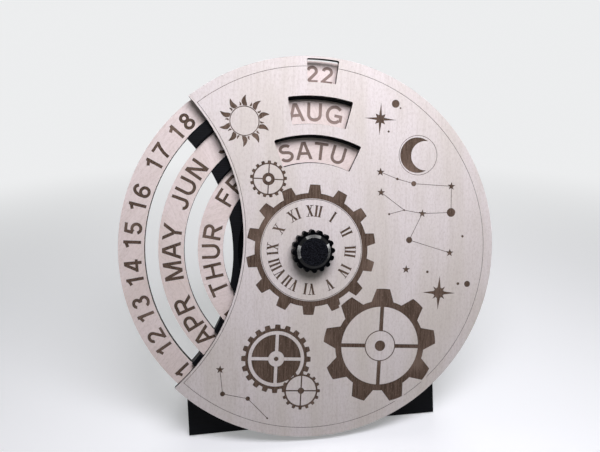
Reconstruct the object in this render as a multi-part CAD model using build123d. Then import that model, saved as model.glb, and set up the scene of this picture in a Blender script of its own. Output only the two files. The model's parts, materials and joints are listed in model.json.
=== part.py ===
from build123d import *
from math import cos, radians, sin
import os

# A perpetual desk calendar. Three plywood rings carry the dates, the months and the
# weekdays. They lie in a printed back frame and turn behind a round plywood face with
# three windows. A knob on a centre bolt clamps the face, and a wedge stand leans it back.
#
# Lengths are in mm and angles in degrees. The part stands on z = 0 and faces -Y.
# Pieces of the clock-like face are drawn lying flat: x to the right, y up the face and
# z out of its front, with z = 0 on the face's front surface. FACE then stands them up.

# ---------------------------------------------------------------- posture
LEAN = 15.0                # the face leans back from upright
RIM_CLEARANCE = 2.7        # air under the rim of the face
PLATE_TURN = -5.7          # how far the face is turned on its bolt at rest

# ---------------------------------------------------------------- plywood face
PLY = 3.0                  # plywood sheet
PLATE_RADIUS = 100.0
PLATE_BITE_RADIUS = 104.2  # the round bite that bares the rings
PLATE_BITE_EDGE = 35.65    # from the axis to the nearest point of that bite
WINDOW_CORNER = 0.8
RIM_BRIDGE = 1.1           # wood left between the date window and the rim
DATE_WINDOW_INSET = 0.7    # how much of the date ring's inner edge the face covers
WINDOW_REACH = 0.7         # how far the other two windows reach past their ring's inner edge
WINDOW_MARGIN = 0.9        # and past its outer edge
DATE_WINDOW_ANGLE = 9.8    # the windows' spans, seen from the axis
MONTH_WINDOW_ANGLE = 24.8
WEEKDAY_WINDOW_ANGLE = 45.0

# ---------------------------------------------------------------- rings
RIM_OVERHANG = 0.9         # how far the face's rim stands past the date ring
RING_PITCH = 20.0          # from one ring's outer radius to the next one's
RING_WIDTH = 13.0
RING_FRONT_GAP = 2.8       # between the rings and the face
RING_BACK_GAP = 0.1        # between the rings and the floor of the frame
RING_PLAY = 0.1            # between a ring and the rib that it turns on
RIB_MARGIN = 0.3           # between a ring and the rib around it

# ---------------------------------------------------------------- back frame
FLOOR = 4.5
FRAME_SET_BACK = 4.0       # how far the frame stays inside the face's rim
FRAME_CHAMFER = 1.0
FRAME_BITE_RADIUS = 87.1
FRAME_BITE_EDGE = 40.8     # from the axis to the nearest point of the frame's bite
FRAME_BITE_TURN = -1.7     # how far that bite is turned from level
HUB_WALL = 8.0             # the wall that the weekday ring turns on
BOSS_RADIUS = 14.0
RIB_CHAMFER = 0.4

# ---------------------------------------------------------------- centre fastening
BOLT_RADIUS = 2.5
BOLT_LENGTH = 16.0         # under the head
BOLT_TIP_CHAMFER = 0.5
BOLT_HEAD_FLATS = 8.0
BOLT_HEAD = 3.5
HEAD_SUNK = 0.3            # how far the head lies below the back of the frame
HEX_PLAY = 0.05            # round a hexagon in its pocket
BOLT_HOLE_PLAY = 0.25
RUNNING_PLAY = 0.05        # radial, of what turns on the bolt or on the bush
STACK_GAP = 0.05           # axial, between stacked pieces that move apart
BUSH_WALL = 1.4
BUSH_SET_BACK = 0.3        # the bush ends this far behind the front surface
PAD_RADIUS = 9.0           # nylon washer under the knob
PAD = 0.8
SPRING_WASHER_WALL = 2.05
SPRING_WASHER = 1.2
SPRING_WASHER_SPLIT = 0.8

# ---------------------------------------------------------------- knob
KNOB_LOBES = 16
KNOB_CORE_RADIUS = 9.75    # the lobes are centred on it
KNOB_LOBE_RADIUS = 1.35
KNOB_SHOULDER = 0.95       # flat step between the lobes' valleys and the bevelled top
KNOB_BEVEL_WIDTH = 1.6
KNOB_BEVEL_HEIGHT = 1.4
KNOB_EDGE = 0.4            # bevel of the lobes' top edge
KNOB_SKIN = 1.95           # wall over the end of the bolt's bore
NUT_HEIGHT = 4.0
BORE_ROOM = 0.5            # room past the end of the bolt

# ---------------------------------------------------------------- stand
STAND_WIDTH = 138.7
PANEL = 4.0
PANEL_HEIGHT = 32.0        # along the face
BASE = 4.0
BASE_DEPTH = 65.0
GUSSET = 4.0
GUSSET_TAIL = 10.0         # how far the gussets stop short of the back edge

# ---------------------------------------------------------------- stand fasteners
SCREW_INSET = 10.0         # from the frame's rim to the screws
SCREW_ANGLES = (15.0, 31.0)  # either side of straight down
SCREW_RADIUS = 1.5
SCREW_TIP_GAP = 0.5        # how far the screws end before the inserts do
SCREW_HEAD_RADIUS = 2.75
SCREW_HEAD = 1.8
SCREW_SOCKET_FLATS = 2.0
SCREW_SOCKET_DEPTH = 1.0
SCREW_HOLE_PLAY = 0.2
WASHER_RADIUS = 3.5
WASHER = 0.5
INSERT_RADIUS = 2.1
INSERT_SKIN = 0.5          # floor left in front of the inserts
INSERT_GROOVE = 0.3

# ---------------------------------------------------------------- feet
FOOT_RADIUS = 5.0
FOOT_PROUD = 0.8           # how far the feet stand out under the base
FOOT_RECESS = 1.2
FOOT_PLAY = 0.1
FOOT_INSET = 9.0           # from the base's edges to the middle of a foot

# ---------------------------------------------------------------- sizes and places that follow
DATE_RING_RADIUS = PLATE_RADIUS - RIM_OVERHANG
MONTH_RING_RADIUS = DATE_RING_RADIUS - RING_PITCH
WEEKDAY_RING_RADIUS = MONTH_RING_RADIUS - RING_PITCH
FRAME_RADIUS = PLATE_RADIUS - FRAME_SET_BACK
SCREW_CIRCLE = FRAME_RADIUS - SCREW_INSET
INSERT_LENGTH = FLOOR - INSERT_SKIN
SCREW_LENGTH = WASHER + PANEL + INSERT_LENGTH - SCREW_TIP_GAP
SPRING_WASHER_RADIUS = BOLT_RADIUS + RUNNING_PLAY + SPRING_WASHER_WALL
KNOB_SHOULDER_RADIUS = KNOB_CORE_RADIUS - KNOB_SHOULDER
KNOB_TOP_RADIUS = KNOB_SHOULDER_RADIUS - KNOB_BEVEL_WIDTH
PLATE_BACK = -PLY
RING_FRONT = PLATE_BACK - RING_FRONT_GAP
RING_BACK = RING_FRONT - PLY
FLOOR_FRONT = RING_BACK - RING_BACK_GAP
FRAME_BACK = FLOOR_FRONT - FLOOR
PANEL_BACK = FRAME_BACK - PANEL
PLATE_BITE_X = -(PLATE_BITE_EDGE + PLATE_BITE_RADIUS)
FRAME_BITE_X = -(FRAME_BITE_EDGE + FRAME_BITE_RADIUS)
BUSH_RADIUS = BOLT_RADIUS + RUNNING_PLAY + BUSH_WALL
HEAD_SEAT = FRAME_BACK + HEAD_SUNK + BOLT_HEAD
BOLT_TIP = HEAD_SEAT + BOLT_LENGTH
KNOB_BACK = PAD + STACK_GAP
NUT_BACK = KNOB_BACK + SPRING_WASHER + STACK_GAP
NUT_FRONT = NUT_BACK + NUT_HEIGHT
BORE_END = max(BOLT_TIP, NUT_FRONT) + BORE_ROOM
KNOB_FRONT = BORE_END + KNOB_SKIN
LOBE_FRONT = KNOB_FRONT - KNOB_BEVEL_HEIGHT
BOLT_HEAD_APOTHEM = BOLT_HEAD_FLATS / 2
BASE_TOP = FOOT_PROUD + BASE

# The axis stands as high as the lowest point of the face's rim needs.
AXIS_Z = PLATE_RADIUS * cos(radians(LEAN)) + PLY * sin(radians(LEAN)) + RIM_CLEARANCE


def stand_point(y, z, axis_y=0.0):
    """Side view (y, z) of a point at height y on the face's plane z, once it stands."""
    lean = radians(LEAN)
    return (axis_y + y * sin(lean) - z * cos(lean), AXIS_Z + y * cos(lean) + z * sin(lean))


def height_on_face(z, height):
    """How far up the plane z of the face a given height above the table lies."""
    lean = radians(LEAN)
    return (height - AXIS_Z - z * sin(lean)) / cos(lean)


# The origin lies on the table, halfway between the rim at the front and the base's back.
PANEL_FOOT_Y = height_on_face(FRAME_BACK, FOOT_PROUD)
FRONT_REACH = stand_point(-PLATE_RADIUS, 0)[0]
BACK_REACH = stand_point(PANEL_FOOT_Y, FRAME_BACK)[0] + BASE_DEPTH
AXIS_Y = -(FRONT_REACH + BACK_REACH) / 2
BASE_FRONT = BACK_REACH + AXIS_Y - BASE_DEPTH
BASE_REAR = BASE_FRONT + BASE_DEPTH

FACE = Location((0, AXIS_Y, AXIS_Z), (90 - LEAN, 0, 0))


def slab(outline, back, front):
    """A flat outline given thickness from z = back to z = front."""
    return extrude(Pos(0, 0, back) * outline, amount=front - back)


def hexagon(apothem):
    return RegularPolygon(apothem, 6, major_radius=False)


def tube(outer, inner, back, front):
    return slab(Circle(outer) - Circle(inner), back, front)


# ---------------------------------------------------------------- plywood pieces
def arc_window(inner, outer, angle):
    """A window with arcs above and below, straight sides towards the axis and soft corners."""
    start = 90 - angle / 2
    top = CenterArc((0, 0), outer, start, angle)
    bottom = CenterArc((0, 0), inner, start, angle)
    sides = [Line(bottom @ end, top @ end) for end in (0, 1)]
    window = make_face([top, bottom, *sides])
    return fillet(window.vertices(), WINDOW_CORNER)


def front_plate():
    outline = Circle(PLATE_RADIUS) - Pos(PLATE_BITE_X, 0) * Circle(PLATE_BITE_RADIUS)
    outline -= arc_window(
        DATE_RING_RADIUS - RING_WIDTH + DATE_WINDOW_INSET, PLATE_RADIUS - RIM_BRIDGE, DATE_WINDOW_ANGLE
    )
    for radius, angle in (
        (MONTH_RING_RADIUS, MONTH_WINDOW_ANGLE),
        (WEEKDAY_RING_RADIUS, WEEKDAY_WINDOW_ANGLE),
    ):
        outline -= arc_window(radius - RING_WIDTH - WINDOW_REACH, radius + WINDOW_MARGIN, angle)
    outline -= Circle(BUSH_RADIUS + RUNNING_PLAY)
    return Rot(0, 0, PLATE_TURN) * slab(outline, PLATE_BACK, 0)


def ring(outer):
    return tube(outer, outer - RING_WIDTH, RING_BACK, RING_FRONT)


# ---------------------------------------------------------------- printed back frame
def guide_rib(outer, inner):
    """A raised ring on the frame's floor, bevelled at the top, that a plywood ring turns on."""
    rib = tube(outer, inner, FLOOR_FRONT, PLATE_BACK)
    return chamfer(rib.edges().group_by(Axis.Z)[-1], RIB_CHAMFER)


def screw_places():
    """The stand's screws, either side of the lowest point of the frame."""
    for side in (-1, 1):
        for angle in SCREW_ANGLES:
            turn = radians(angle) * side
            yield Pos(SCREW_CIRCLE * sin(turn), -SCREW_CIRCLE * cos(turn))


def back_frame():
    floor = slab(Circle(FRAME_RADIUS), FRAME_BACK, FLOOR_FRONT)
    frame = chamfer(floor.edges().group_by(Axis.Z)[0], FRAME_CHAMFER)
    frame += guide_rib(DATE_RING_RADIUS - RING_WIDTH - RING_PLAY, MONTH_RING_RADIUS + RIB_MARGIN)
    frame += guide_rib(MONTH_RING_RADIUS - RING_WIDTH - RING_PLAY, WEEKDAY_RING_RADIUS + RIB_MARGIN)
    hub_radius = WEEKDAY_RING_RADIUS - RING_WIDTH - RING_PLAY
    frame += guide_rib(hub_radius, hub_radius - HUB_WALL)
    frame += slab(Circle(BOSS_RADIUS), FLOOR_FRONT, PLATE_BACK)
    bite = slab(Pos(FRAME_BITE_X, 0) * Circle(FRAME_BITE_RADIUS), FRAME_BACK, PLATE_BACK)
    frame -= Rot(0, 0, FRAME_BITE_TURN) * bite
    frame -= slab(Circle(BOLT_RADIUS + BOLT_HOLE_PLAY), FRAME_BACK, PLATE_BACK)
    frame -= slab(hexagon(BOLT_HEAD_APOTHEM + HEX_PLAY), FRAME_BACK, HEAD_SEAT)
    for place in screw_places():
        frame -= place * slab(Circle(INSERT_RADIUS), FRAME_BACK, FRAME_BACK + INSERT_LENGTH)
    return frame


# ---------------------------------------------------------------- centre fastening
def centre_bolt():
    shank = slab(Circle(BOLT_RADIUS), HEAD_SEAT, BOLT_TIP)
    shank = chamfer(shank.edges().group_by(Axis.Z)[-1], BOLT_TIP_CHAMFER)
    return slab(hexagon(BOLT_HEAD_APOTHEM), HEAD_SEAT - BOLT_HEAD, HEAD_SEAT) + shank


def plate_bush():
    return tube(BUSH_RADIUS, BOLT_RADIUS + RUNNING_PLAY, PLATE_BACK, -BUSH_SET_BACK)


def nylon_washer():
    return tube(PAD_RADIUS, BOLT_RADIUS + BOLT_HOLE_PLAY, 0, PAD)


def spring_washer():
    """A washer split on one side."""
    washer = tube(SPRING_WASHER_RADIUS, BOLT_RADIUS + RUNNING_PLAY, KNOB_BACK, KNOB_BACK + SPRING_WASHER)
    split = Pos(SPRING_WASHER_RADIUS / 2, 0) * Rectangle(SPRING_WASHER_RADIUS, SPRING_WASHER_SPLIT)
    return washer - slab(split, KNOB_BACK, KNOB_BACK + SPRING_WASHER)


def knob_nut():
    nut = slab(hexagon(BOLT_HEAD_APOTHEM), NUT_BACK, NUT_FRONT)
    return nut - slab(Circle(BOLT_RADIUS + RUNNING_PLAY), NUT_BACK, NUT_FRONT)


def knob():
    """Round lobes about a core, a bevelled top, and from below a pocket for washer, nut and bolt."""
    lobe = Pos(KNOB_CORE_RADIUS, 0) * Circle(KNOB_LOBE_RADIUS)
    grip = Circle(KNOB_CORE_RADIUS)
    for count in range(KNOB_LOBES):
        grip += Rot(0, 0, count * 360 / KNOB_LOBES) * lobe
    body = slab(grip, KNOB_BACK, LOBE_FRONT)
    body = chamfer(body.edges().group_by(Axis.Z)[-1], KNOB_EDGE)
    bevel = Cone(KNOB_SHOULDER_RADIUS, KNOB_TOP_RADIUS, KNOB_BEVEL_HEIGHT)
    body += Pos(0, 0, LOBE_FRONT + KNOB_BEVEL_HEIGHT / 2) * bevel
    body -= slab(Circle(SPRING_WASHER_RADIUS + BOLT_HOLE_PLAY), KNOB_BACK, NUT_BACK)
    body -= slab(hexagon(BOLT_HEAD_APOTHEM + HEX_PLAY), NUT_BACK, NUT_FRONT)
    body -= slab(Circle(BOLT_RADIUS + BOLT_HOLE_PLAY), NUT_FRONT, BORE_END)
    return body


# ---------------------------------------------------------------- stand
def side_profile(points, width):
    """A shape seen from the side, given width across the stand about its middle."""
    outline = make_face(Polyline([*points, points[0]]))
    return extrude(Plane.YZ * outline, amount=width / 2, both=True)


def stand_panel():
    top = PANEL_FOOT_Y + PANEL_HEIGHT
    back_foot = height_on_face(PANEL_BACK, FOOT_PROUD)
    corners = (
        stand_point(PANEL_FOOT_Y, FRAME_BACK, AXIS_Y),
        stand_point(top, FRAME_BACK, AXIS_Y),
        stand_point(top, PANEL_BACK, AXIS_Y),
        stand_point(back_foot, PANEL_BACK, AXIS_Y),
    )
    return side_profile(corners, STAND_WIDTH)


def stand_base():
    """The base plate: its front edge lies in the plane of the panel's front."""
    corners = (
        stand_point(PANEL_FOOT_Y, FRAME_BACK, AXIS_Y),
        stand_point(height_on_face(FRAME_BACK, BASE_TOP), FRAME_BACK, AXIS_Y),
        (BASE_REAR, BASE_TOP),
        (BASE_REAR, FOOT_PROUD),
    )
    base = side_profile(corners, STAND_WIDTH)
    rear_corners = base.edges().filter_by(Axis.Z).group_by(Axis.Y)[-1]
    return fillet(rear_corners, FOOT_INSET)


def gusset():
    """The web that ties the top of the panel to the back of the base."""
    back_top = stand_point(PANEL_FOOT_Y + PANEL_HEIGHT, PANEL_BACK, AXIS_Y)
    front_low = stand_point(height_on_face(FRAME_BACK, BASE_TOP), FRAME_BACK, AXIS_Y)
    front_top = stand_point(PANEL_FOOT_Y + PANEL_HEIGHT, FRAME_BACK, AXIS_Y)
    tail = (BASE_REAR - GUSSET_TAIL, BASE_TOP)
    return side_profile((front_low, front_top, back_top, tail), GUSSET)


def foot_places():
    for x in (-STAND_WIDTH / 2 + FOOT_INSET, STAND_WIDTH / 2 - FOOT_INSET):
        for y in (BASE_FRONT + FOOT_INSET, BASE_REAR - FOOT_INSET):
            yield Pos(x, y)


def stand():
    body = stand_base() + stand_panel()
    between_screws = SCREW_CIRCLE * sum(sin(radians(angle)) for angle in SCREW_ANGLES) / 2
    for x in (between_screws, (STAND_WIDTH - GUSSET) / 2):
        body += Pos(x, 0, 0) * gusset()
        body += Pos(-x, 0, 0) * gusset()
    for place in screw_places():
        hole = slab(Circle(SCREW_RADIUS + SCREW_HOLE_PLAY), PANEL_BACK, FRAME_BACK)
        body -= FACE * place * hole
    for place in foot_places():
        body -= place * slab(Circle(FOOT_RADIUS + FOOT_PLAY), FOOT_PROUD, FOOT_PROUD + FOOT_RECESS)
    return body


# ---------------------------------------------------------------- stand fasteners and feet
def stand_screw():
    seat = PANEL_BACK - WASHER
    head = slab(Circle(SCREW_HEAD_RADIUS), seat - SCREW_HEAD, seat)
    head = fillet(head.edges().group_by(Axis.Z)[0], SCREW_HEAD / 2)
    head -= slab(hexagon(SCREW_SOCKET_FLATS / 2), seat - SCREW_HEAD, seat - SCREW_HEAD + SCREW_SOCKET_DEPTH)
    return head + slab(Circle(SCREW_RADIUS), seat, seat + SCREW_LENGTH)


def screw_washer():
    return tube(WASHER_RADIUS, SCREW_RADIUS + SCREW_HOLE_PLAY, PANEL_BACK - WASHER, PANEL_BACK)


def threaded_insert():
    """A brass bush with one groove round its middle."""
    front = FRAME_BACK + INSERT_LENGTH
    body = tube(INSERT_RADIUS, SCREW_RADIUS + RUNNING_PLAY, FRAME_BACK, front)
    third = INSERT_LENGTH / 3
    return body - tube(INSERT_RADIUS, INSERT_RADIUS - INSERT_GROOVE, FRAME_BACK + third, front - third)


def rubber_foot():
    foot = slab(Circle(FOOT_RADIUS), 0, FOOT_PROUD + FOOT_RECESS)
    return chamfer(foot.edges().group_by(Axis.Z)[0], FOOT_PROUD / 2)


def at_screws(piece):
    return Compound([place * piece for place in screw_places()])


NODES = {
    "front_plate": FACE * front_plate(),
    "date_ring": FACE * ring(DATE_RING_RADIUS),
    "month_ring": FACE * ring(MONTH_RING_RADIUS),
    "weekday_ring": FACE * ring(WEEKDAY_RING_RADIUS),
    "back_frame": FACE * back_frame(),
    "centre_bolt": FACE * centre_bolt(),
    "plate_bush": FACE * plate_bush(),
    "nylon_washer": FACE * nylon_washer(),
    "spring_washer": FACE * spring_washer(),
    "knob": FACE * knob(),
    "knob_nut": FACE * knob_nut(),
    "stand": stand(),
    "stand_screws": FACE * at_screws(stand_screw()),
    "screw_washers": FACE * at_screws(screw_washer()),
    "threaded_inserts": FACE * at_screws(threaded_insert()),
    "rubber_feet": Compound([place * rubber_foot() for place in foot_places()]),
}

os.makedirs("parts", exist_ok=True)
for name, solid in NODES.items():
    export_step(solid, f"parts/{name}.step")

print(f"face axis at y {AXIS_Y:.3f}, z {AXIS_Z:.3f}; {len(NODES)} nodes")
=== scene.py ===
# %% [markdown]
# # A perpetual desk calendar
# Three plywood rings carry the dates, the months and the weekdays. They turn behind a
# round plywood face with three windows, and a wedge stand leans the whole thing back.
# The pieces come from the frame at their real size. This lesson gives them their looks:
# first the camera and the studio, then one finish and one group of pieces at a time.

# %% Load the frame
import json
import math

import bpy
from mathutils import Matrix, Vector
from mathutils.geometry import delaunay_2d_cdt


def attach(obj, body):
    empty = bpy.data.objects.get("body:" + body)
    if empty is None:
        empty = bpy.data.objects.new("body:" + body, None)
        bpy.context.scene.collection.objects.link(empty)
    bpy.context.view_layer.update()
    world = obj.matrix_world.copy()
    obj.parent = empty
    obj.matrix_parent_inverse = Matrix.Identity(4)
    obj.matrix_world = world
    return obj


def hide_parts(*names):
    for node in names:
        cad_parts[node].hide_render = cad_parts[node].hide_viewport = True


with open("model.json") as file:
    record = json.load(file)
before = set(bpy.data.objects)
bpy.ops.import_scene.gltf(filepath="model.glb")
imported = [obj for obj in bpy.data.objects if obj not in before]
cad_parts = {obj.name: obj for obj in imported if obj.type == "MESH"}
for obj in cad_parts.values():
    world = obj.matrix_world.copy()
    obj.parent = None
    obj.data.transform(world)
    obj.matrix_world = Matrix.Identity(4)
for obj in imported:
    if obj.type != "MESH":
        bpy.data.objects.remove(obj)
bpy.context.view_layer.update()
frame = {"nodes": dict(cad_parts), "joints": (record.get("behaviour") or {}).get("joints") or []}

MM = 0.001

# %% [markdown]
# ## Axes on the face
# Everything round on this object turns about one leaning bolt. Drawing on the face is
# easy in its own axes: x to the right, y up the face, z out of its front, in millimetres.
# The hinge of the face gives both the origin and the direction of z, so no size is
# guessed here. One matrix then carries a drawing from those axes to the table.

# %% Axes of the face
hinge = next(joint for joint in frame["joints"] if joint["name"] == "front_plate_turn")
OUT = Vector(hinge["axis"])
ACROSS = Vector((1, 0, 0))
UP = OUT.cross(ACROSS)
CENTRE = Vector(hinge["pos_m"])
FACE = Matrix.Translation(CENTRE) @ Matrix((ACROSS, UP, OUT)).transposed().to_4x4()
TO_FACE = FACE.inverted()


def on_face(x, y, z=0.0):
    """The place on the table, in metres, of a point given in the face's axes in mm."""
    return FACE @ (Vector((x, y, z)) * MM)


def face_points(node):
    """The corners of a node's mesh in the face's axes, in mm."""
    return [TO_FACE @ vertex.co / MM for vertex in frame["nodes"][node].data.vertices]


print("the face leans back", round(math.degrees(math.asin(OUT.z)), 2), "degrees")

# %% [markdown]
# ## Camera
# The viewer stands close, a little left of the middle, and looks down at the leaning
# face. A camera can be aimed with a constraint, but a matrix built from three
# directions is shorter and stays put. Place and aim are given on the face itself, so
# they are easy to check against it.

# %% Camera
CAMERA_PLACE = (-38.05, 28.63, 257.8)
CAMERA_AIM = (-5.69, 12.95, 0.0)
CAMERA_ROLL = math.radians(-2.3)
CAMERA_LENS = 30.0

camera = bpy.data.objects.new("camera", bpy.data.cameras.new("camera"))
bpy.context.scene.collection.objects.link(camera)
camera.data.lens = CAMERA_LENS
camera.data.clip_start = 0.01
looking = (on_face(*CAMERA_AIM) - on_face(*CAMERA_PLACE)).normalized()
level = looking.cross(UP).normalized()
upright = level.cross(looking)
right = level * math.cos(CAMERA_ROLL) + upright * math.sin(CAMERA_ROLL)
above = right.cross(looking)
turned = Matrix((right, above, -looking)).transposed().to_4x4()
camera.matrix_world = Matrix.Translation(on_face(*CAMERA_PLACE)) @ turned
bpy.context.scene.camera = camera
bpy.context.scene.view_settings.view_transform = "Standard"
print("camera at, m:", [round(value, 3) for value in camera.location])

# %% [markdown]
# ## Shader maths in plain Python
# A finish is a tree of nodes, and sums made of nodes are hard to read. The small class
# below wraps one socket, so that `1 - mask` or `height * 0.3 + grain` adds the Math
# nodes by itself. The second class is a finish: it owns a material and has one method
# that adds any other node from its type, its settings and its inputs.


# %% A socket that can be calculated with
class Wire:
    """One output socket. Each operator adds a Math node and gives a new Wire."""

    def __init__(self, socket):
        self.socket = socket

    def maths(self, operation, *values):
        node = self.socket.id_data.nodes.new("ShaderNodeMath")
        node.operation = operation
        for socket, value in zip(node.inputs, values):
            join(socket, value)
        return Wire(node.outputs[0])

    def __add__(self, other):
        return self.maths("ADD", self, other)

    def __radd__(self, other):
        return self.maths("ADD", other, self)

    def __sub__(self, other):
        return self.maths("SUBTRACT", self, other)

    def __rsub__(self, other):
        return self.maths("SUBTRACT", other, self)

    def __mul__(self, other):
        return self.maths("MULTIPLY", self, other)

    def __rmul__(self, other):
        return self.maths("MULTIPLY", other, self)

    def __pow__(self, other):
        return self.maths("POWER", self, other)


def join(socket, value):
    """Links a Wire to a socket, or sets the socket to a plain value."""
    if isinstance(value, Wire):
        socket.id_data.links.new(value.socket, socket)
    else:
        socket.default_value = value


# %% A finish: one material and the nodes behind it
class Finish:
    """A material with a Principled shader. Plain values sit on the shader's own sockets."""

    def __init__(self, name, **plain):
        self.material = bpy.data.materials.new(name)
        self.material.use_nodes = True
        self.tree = self.material.node_tree
        self.shader = self.tree.nodes["Principled BSDF"]
        for socket, value in plain.items():
            self.shader.inputs[socket.replace("_", " ")].default_value = value

    def node(self, kind, settings=(), inputs=(), output=0):
        """Adds a node: its type, then its settings, then its inputs by name or number."""
        node = self.tree.nodes.new("ShaderNode" + kind)
        for setting, value in dict(settings).items():
            setattr(node, setting, value)
        for socket, value in dict(inputs).items():
            join(node.inputs[socket], value)
        return Wire(node.outputs[output])

    def feed(self, socket, wire):
        join(self.shader.inputs[socket], wire)


print("shader helpers are ready")

# %% [markdown]
# The finishes on this object share five ideas: a place in millimetres along the face's
# axes, noise that can be stretched into grain, a soft threshold, a mix of two colours
# and a bump. Each is one short function on top of the classes.


# %% Shared pieces of a finish
def colour(red, green, blue):
    """A colour given as a painter reads it from a chart, 0 to 255, made linear for shaders."""
    return (*(round((part / 255) ** 2.2, 5) for part in (red, green, blue)), 1.0)


def place(finish):
    """Three Wires: where a point of the surface lies along the face's axes, in mm."""
    point = finish.node("TexCoord", output="Object")
    wires = []
    for direction in (ACROSS, UP, OUT):
        inputs = {0: point, 1: direction / MM}
        along = finish.node("VectorMath", {"operation": "DOT_PRODUCT"}, inputs, output="Value")
        wires.append(along - CENTRE.dot(direction) / MM)
    return wires


def noise(finish, x, y, z, detail=2.0, roughness=0.5):
    """Noise about 0.5 at a point that is already scaled: 1 is about one blob."""
    point = finish.node("CombineXYZ", inputs={0: x, 1: y, 2: z})
    inputs = {"Vector": point, "Scale": 1.0, "Detail": detail, "Roughness": roughness}
    return finish.node("TexNoise", inputs=inputs, output="Fac")


def ease(finish, value, low, high):
    """0 below low, 1 above high and a soft rise between. Low above high turns it round."""
    inputs = {"Value": value, "From Min": low, "From Max": high}
    return finish.node("MapRange", {"interpolation_type": "SMOOTHSTEP"}, inputs)


def blend(finish, share, first, second):
    """The first colour where share is 0, the second where it is 1."""
    sockets = {0: share, 6: first, 7: second}
    return finish.node("Mix", {"data_type": "RGBA"}, sockets, output=2)


def bump(finish, height, depth_mm, strength=1.0):
    inputs = {"Height": height, "Distance": depth_mm * MM, "Strength": strength}
    finish.feed("Normal", finish.node("Bump", inputs=inputs))


print("shared pieces of a finish are ready")

# %% [markdown]
# ## Birch plywood
# The face and the rings are cut from 3 mm birch plywood. Birch is pale and almost even:
# fine fibres run along the sheet, a broad figure shifts the tone a little, small flecks
# break it up and short dark pores dot it. All four are one noise stretched by different
# amounts, so one function serves every sheet, with its own grain direction and its own
# piece of tree.

# %% Birch finish
BIRCH = dict(pale=colour(219, 211, 208), warm=colour(208, 200, 191), fibre=colour(184, 173, 164))
RING_BIRCH = dict(pale=colour(230, 216, 211), warm=colour(221, 206, 198), fibre=colour(197, 181, 171))
BIRCH_PORE = colour(150, 130, 114)


def birch(name, grain_degrees, tree, pale, warm, fibre):
    finish = Finish(name, Specular_IOR_Level=0.3)
    x, y, z = place(finish)
    turn = math.radians(grain_degrees)
    along = y * math.cos(turn) + x * math.sin(turn)
    across = x * math.cos(turn) - y * math.sin(turn) + tree
    figure = noise(finish, across * 0.045, along * 0.011, z * 0.2)
    fibres = noise(finish, across * 0.8, along * 0.05, z * 0.8, detail=3.0, roughness=0.6)
    speckle = noise(finish, across * 1.1, along * 0.6, z * 1.5, detail=3.0, roughness=0.7)
    pores = noise(finish, across * 3.0, along * 0.35, z * 3.0)
    tone = blend(finish, ease(finish, figure, 0.35, 0.7), pale, warm)
    tone = blend(finish, ease(finish, fibres, 0.42, 0.8) * 0.35, tone, fibre)
    tone = blend(finish, ease(finish, speckle, 0.42, 0.7) * 0.4, tone, fibre)
    tone = blend(finish, ease(finish, pores, 0.6, 0.76) * 0.25, tone, BIRCH_PORE)
    finish.feed("Base Color", tone)
    finish.feed("Roughness", 0.62 + fibres * 0.2)
    bump(finish, speckle * 0.6 + pores * 0.4, depth_mm=0.05, strength=0.25)
    return finish


face_birch = birch("face_birch", grain_degrees=3.0, tree=0.0, **BIRCH)
print("birch nodes:", len(face_birch.tree.nodes))

# %% [markdown]
# ## What the laser leaves
# A laser does two things to the sheet. Where it engraves, it takes off a few tenths of a
# millimetre and leaves a brown floor, streaked because soft and hard fibres burn
# unequally. Where it cuts through, the edge is charred dark, with the middle ply a touch
# paler. On top of the char, that colour is painted darker, near black: painted shade, as the
# walls of the windows look where they stand in shade. The engraving is modelled as real
# sunken floors with real walls, so these two finishes only have to bring the colour and
# the fine roughness. On the rings the burn is weaker towards the right, where a sheet lay
# farther from the focus.

# %% Burnt finishes
BURN = colour(99, 83, 72)
BURN_DARK = colour(70, 57, 48)
BURN_PALE = colour(140, 120, 106)
BURN_WEAK = colour(160, 141, 133)
# The cut edge's colours: real char, painted darker still as shade, near black on every cut wall.
CHAR_AND_SHADE = colour(18, 13, 11)
PALE_PLY_CHAR_AND_SHADE = colour(44, 33, 26)


def engraved(name, grain_degrees, tree, weak=0.0):
    """Burnt wood. The share weak tells how far the burn fades towards the right."""
    finish = Finish(name, Specular_IOR_Level=0.15)
    x, y, z = place(finish)
    turn = math.radians(grain_degrees)
    along = y * math.cos(turn) + x * math.sin(turn)
    across = x * math.cos(turn) - y * math.sin(turn) + tree
    streaks = noise(finish, across * 1.9, along * 0.1, z, detail=4.0, roughness=0.7)
    flecks = noise(finish, across * 3.0, along * 0.8, z, detail=2.0)
    patches = noise(finish, x * 0.04 + tree, y * 0.04, z * 0.04)
    tone = blend(finish, ease(finish, streaks, 0.35, 0.62), BURN_DARK, BURN)
    tone = blend(finish, ease(finish, patches, 0.5, 0.75) * 0.5, tone, BURN_PALE)
    tone = blend(finish, ease(finish, flecks, 0.55, 0.8) * 0.6, tone, BURN_PALE)
    tone = blend(finish, ease(finish, x, -35.0, -15.0) * weak, tone, BURN_WEAK)
    finish.feed("Base Color", tone)
    finish.feed("Roughness", 0.75 + streaks * 0.2)
    bump(finish, streaks + flecks, depth_mm=0.12, strength=0.5)
    return finish


# Cut walls: char with painted shade, the two near-black colours mixed by soot and plies.
def charred(name):
    finish = Finish(name, Specular_IOR_Level=0.2)
    x, y, z = place(finish)
    soot = noise(finish, x * 0.9, y * 0.9, z * 0.35, detail=3.0)
    plies = noise(finish, x * 0.05, y * 0.05, z * 1.1)
    tone = blend(finish, ease(finish, soot * 0.6 + plies * 0.4, 0.45, 0.7), CHAR_AND_SHADE, PALE_PLY_CHAR_AND_SHADE)
    finish.feed("Base Color", tone)
    finish.feed("Roughness", 0.6 + soot * 0.3)
    bump(finish, soot, depth_mm=0.1, strength=0.4)
    return finish


laser_edge = charred("laser_edge")
face_burn = engraved("face_burn", grain_degrees=3.0, tree=0.0)
print("burnt finishes:", laser_edge.material.name, face_burn.material.name)

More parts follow.
